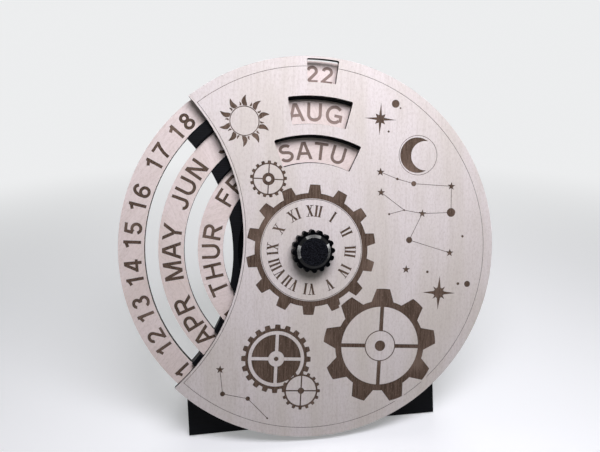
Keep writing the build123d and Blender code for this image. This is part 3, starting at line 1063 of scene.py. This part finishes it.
zinc = uneven("zinc_plate", colour(196, 196, 192), colour(168, 170, 172),
              metallic=1.0, rough=0.25, scale=0.8, depth=0.03)
brass = uneven("brass", colour(214, 176, 104), colour(186, 146, 80),
               metallic=1.0, rough=0.25, scale=0.8, depth=0.02)
nylon = uneven("nylon", colour(228, 226, 218), colour(214, 211, 202),
               metallic=0.0, rough=0.4, scale=0.5, depth=0.03)
rubber = uneven("rubber", colour(34, 34, 34), colour(48, 47, 46),
                metallic=0.0, rough=0.75, scale=1.5, depth=0.06)

DRESS = {
    "back_frame": frame_black, "stand": stand_black, "knob": knob_black,
    "centre_bolt": zinc, "knob_nut": zinc, "spring_washer": zinc,
    "stand_screws": zinc, "screw_washers": zinc, "threaded_inserts": brass,
    "plate_bush": nylon, "nylon_washer": nylon, "rubber_feet": rubber,
}
for node, finish in DRESS.items():
    mesh = frame["nodes"][node].data
    mesh.materials.clear()
    mesh.materials.append(finish.material)
print("dressed nodes:", len(DRESS))

# %% [markdown]
# ## Studio
# The floor is plain and pale. Far from the object it turns into the colour of the
# backdrop, so no horizon shows. That colour is only seen, straight or in a reflection:
# the light path says which rays ask, and all others find a darker tabletop. So the pale
# surroundings add no light of their own.


# %% Floor and backdrop
def only_seen(tree):
    """1 for rays that show a thing to the viewer, straight, mirrored or through glass."""
    path = tree.nodes.new("ShaderNodeLightPath")
    rays = ("Camera", "Glossy", "Transmission")
    seen, mirrored, through = (Wire(path.outputs[f"Is {ray} Ray"]) for ray in rays)
    return seen.maths("MAXIMUM", seen.maths("MAXIMUM", seen, mirrored), through)


BACKDROP = colour(236, 237, 238)
FLOOR_PAINT = colour(226, 227, 228)
FLOOR_UNSEEN = colour(140, 141, 142)
FLOOR_SIZE = 6.0
FLOOR_NEAR, FLOOR_FAR = 0.25, 0.8
FLOOR_LIFT = 0.35

floor_mesh = bpy.data.meshes.new("floor")
reach = FLOOR_SIZE / 2
floor_corners = [(-reach, -reach, 0), (reach, -reach, 0), (reach, reach, 0), (-reach, reach, 0)]
floor_mesh.from_pydata(floor_corners, [], [(0, 1, 2, 3)])
floor = bpy.data.objects.new("floor", floor_mesh)
bpy.context.scene.collection.objects.link(floor)

floor_finish = Finish("floor_paint", Roughness=0.6, Specular_IOR_Level=0.0)
point = floor_finish.node("TexCoord", output="Object")
away = floor_finish.node("VectorMath", {"operation": "LENGTH"}, {0: point}, output="Value")
seen = only_seen(floor_finish.tree)
floor_finish.feed("Base Color", blend(floor_finish, seen, FLOOR_UNSEEN, FLOOR_PAINT))
lift = floor_finish.node("Emission", inputs={"Color": BACKDROP, "Strength": seen * FLOOR_LIFT})
near = floor_finish.node("AddShader", inputs={0: Wire(floor_finish.shader.outputs[0]), 1: lift})
glow = floor_finish.node("Emission", inputs={"Color": BACKDROP, "Strength": 1.0})
shares = {0: ease(floor_finish, away, FLOOR_NEAR, FLOOR_FAR) * seen, 1: near, 2: glow}
surface = floor_finish.node("MixShader", inputs=shares)
join(floor_finish.tree.nodes["Material Output"].inputs["Surface"], surface)
floor_mesh.materials.append(floor_finish.material)
print("floor is", FLOOR_SIZE, "m wide")

# %% [markdown]
# The world is a dim, even light, and rays that only look find the backdrop's colour. A
# picture of a studio could light the scene as well, but a plain colour leaves the wood
# its own tone.

# %% World
WORLD_LIGHT = 0.1
world = bpy.data.worlds.new("studio")
bpy.context.scene.world = world
world.use_nodes = True
sky = world.node_tree
background = sky.nodes["Background"]
background.inputs["Color"].default_value = colour(240, 244, 244)
background.inputs["Strength"].default_value = WORLD_LIGHT
backdrop = sky.nodes.new("ShaderNodeBackground")
backdrop.inputs["Color"].default_value = BACKDROP
choice = sky.nodes.new("ShaderNodeMixShader")
join(choice.inputs[0], only_seen(sky))
join(choice.inputs[1], Wire(background.outputs[0]))
join(choice.inputs[2], Wire(backdrop.outputs[0]))
join(sky.nodes["World Output"].inputs["Surface"], Wire(choice.outputs[0]))
print("light of the world:", WORLD_LIGHT)

# %% [markdown]
# Each lamp is a strip of light between two points, turned towards the face. The key
# hangs close above, a little to the right, so its light rakes down over the face, which
# is brighter at the top than at the foot, and the windows' upper edges cast shadows on
# the rings. The thin strips above, left and right are what the knob's bevel reflects,
# and they light nothing else. A last lamp lights the floor and the back.


# %% Lamps
def lamp(name, start, end, height, watts, tint=(1.0, 1.0, 1.0), target=(0, 0, 0), mirrored_only=False):
    """A strip between two points in the face's axes, in mm, that faces a third point."""
    start, end, target = on_face(*start), on_face(*end), on_face(*target)
    along = (end - start).normalized()
    behind = (start + end) / 2 - target
    behind = (behind - along * behind.dot(along)).normalized()
    data = bpy.data.lights.new(name, "AREA")
    data.shape = "RECTANGLE"
    data.size = (end - start).length
    data.size_y = height * MM
    data.energy = watts
    data.color = tint
    piece = bpy.data.objects.new(name, data)
    bpy.context.scene.collection.objects.link(piece)
    turned = Matrix((along, behind.cross(along), behind)).transposed().to_4x4()
    piece.matrix_world = Matrix.Translation((start + end) / 2) @ turned
    piece.visible_camera = False
    piece.visible_diffuse = not mirrored_only
    return piece


KEY_TINT = (1.0, 0.98, 1.06)
lamp("key", (-85, 215, 240), (165, 215, 240), height=150, watts=1.26, tint=KEY_TINT, target=(25, 20, 0))
lamp("strip_above", (-171, 400, 142), (320, 400, 88), height=40, watts=1.25, mirrored_only=True)
lamp("strip_left", (-180, -108, 52), (-180, 80, 64), height=7, watts=0.088, mirrored_only=True)
lamp("strip_right", (180, -97, -1), (180, 55, 12), height=7, watts=0.107, mirrored_only=True)
lamp("rear", (-150, 486, -452), (350, 486, -452), height=500, watts=1.5)
print("lamps:", [thing.name for thing in bpy.data.lights])
